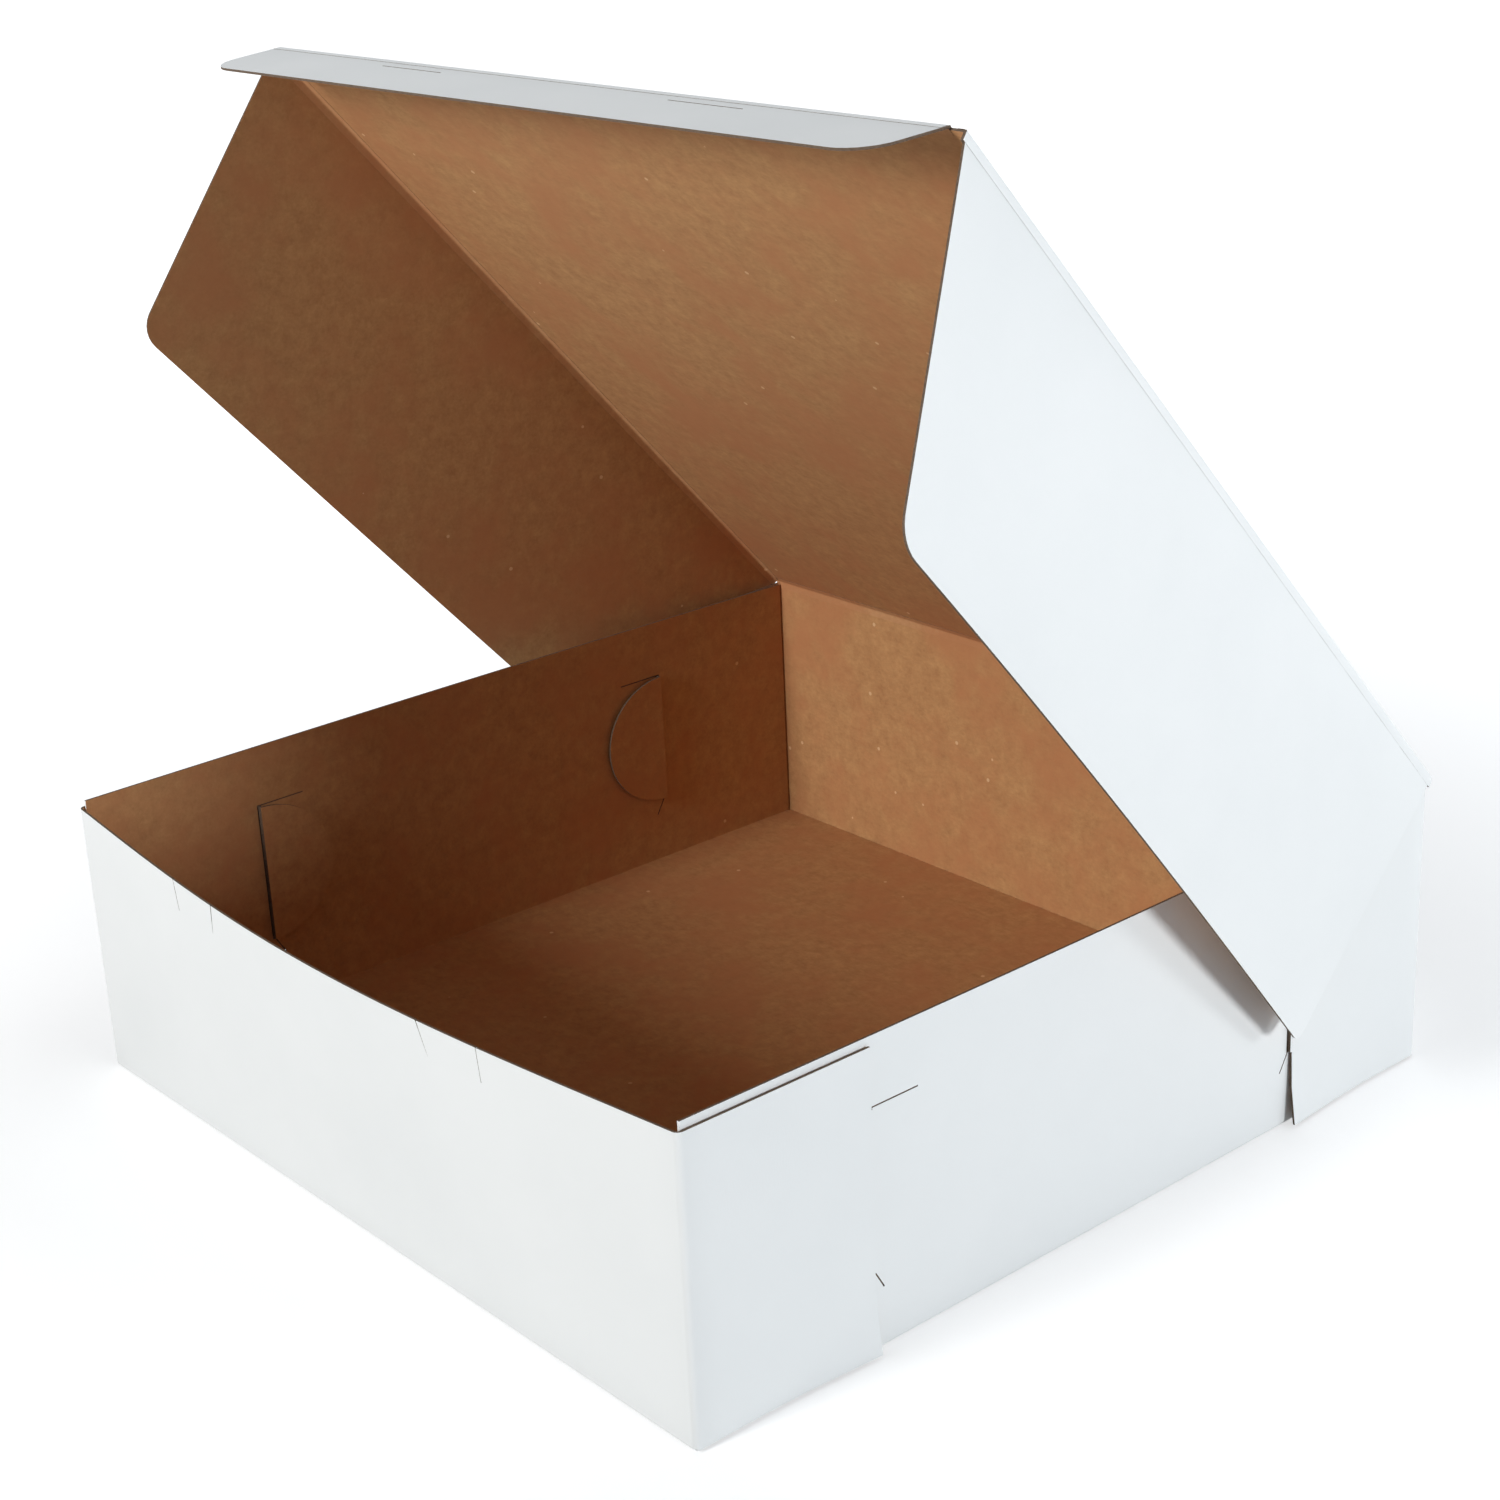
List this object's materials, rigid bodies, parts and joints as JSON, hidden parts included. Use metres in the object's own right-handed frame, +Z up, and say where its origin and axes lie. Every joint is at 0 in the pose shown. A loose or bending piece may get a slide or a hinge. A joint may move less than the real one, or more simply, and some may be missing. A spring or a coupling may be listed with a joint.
{
  "type": "bakery box",
  "caption": "Square bakery box of thin board, white outside and kraft inside, with lock-corner walls and a hinged lid with side flaps and a front tuck flap.",
  "frame": {"origin": "centre of the bottom panel's underside, on the surface the box stands on", "axes": "+X to the right along the front wall, +Y from the front wall to the hinged back wall, +Z up"},
  "size_m": [0.2368, 0.2115, 0.2163],
  "materials": {
    "tray_board": "coated white outside, brown kraft inside",
    "lid_board": "coated white outside, brown kraft inside",
    "tuck_board": "coated white outside, brown kraft inside",
    "left_flap_board": "coated white outside, brown kraft inside",
    "right_flap_board": "coated white outside, brown kraft inside"
  },
  "bodies": {
    "tray": {"base_tray": "tray_board"},
    "lid": {"lid_panel": "lid_board"},
    "tuck_flap": {"front_tuck_flap": "tuck_board"},
    "left_flap": {"left_side_flap": "left_flap_board"},
    "right_flap": {"right_side_flap": "right_flap_board"}
  },
  "joints": [
    {"name": "lid_hinge", "type": "hinge", "parent": "tray", "child": "lid", "pos_m": [0, 0.10175, 0.065], "axis": [-1, 0, 0], "range_deg": [-45.6, 131.8]},
    {"name": "tuck_fold", "type": "hinge", "parent": "lid", "child": "tuck_flap", "pos_m": [0, -0.03329, 0.21603], "axis": [-1, 0, 0], "range_deg": [-39.5, 53.5]},
    {"name": "left_flap_fold", "type": "hinge", "parent": "lid", "child": "left_flap", "pos_m": [-0.10275, 0.10175, 0.065], "axis": [0, 0.6665, -0.7455], "range_deg": [-3.6, 81]},
    {"name": "right_flap_fold", "type": "hinge", "parent": "lid", "child": "right_flap", "pos_m": [0.10275, 0.10175, 0.065], "axis": [0, -0.6665, 0.7455], "range_deg": [-3.6, 81]}
  ]
}
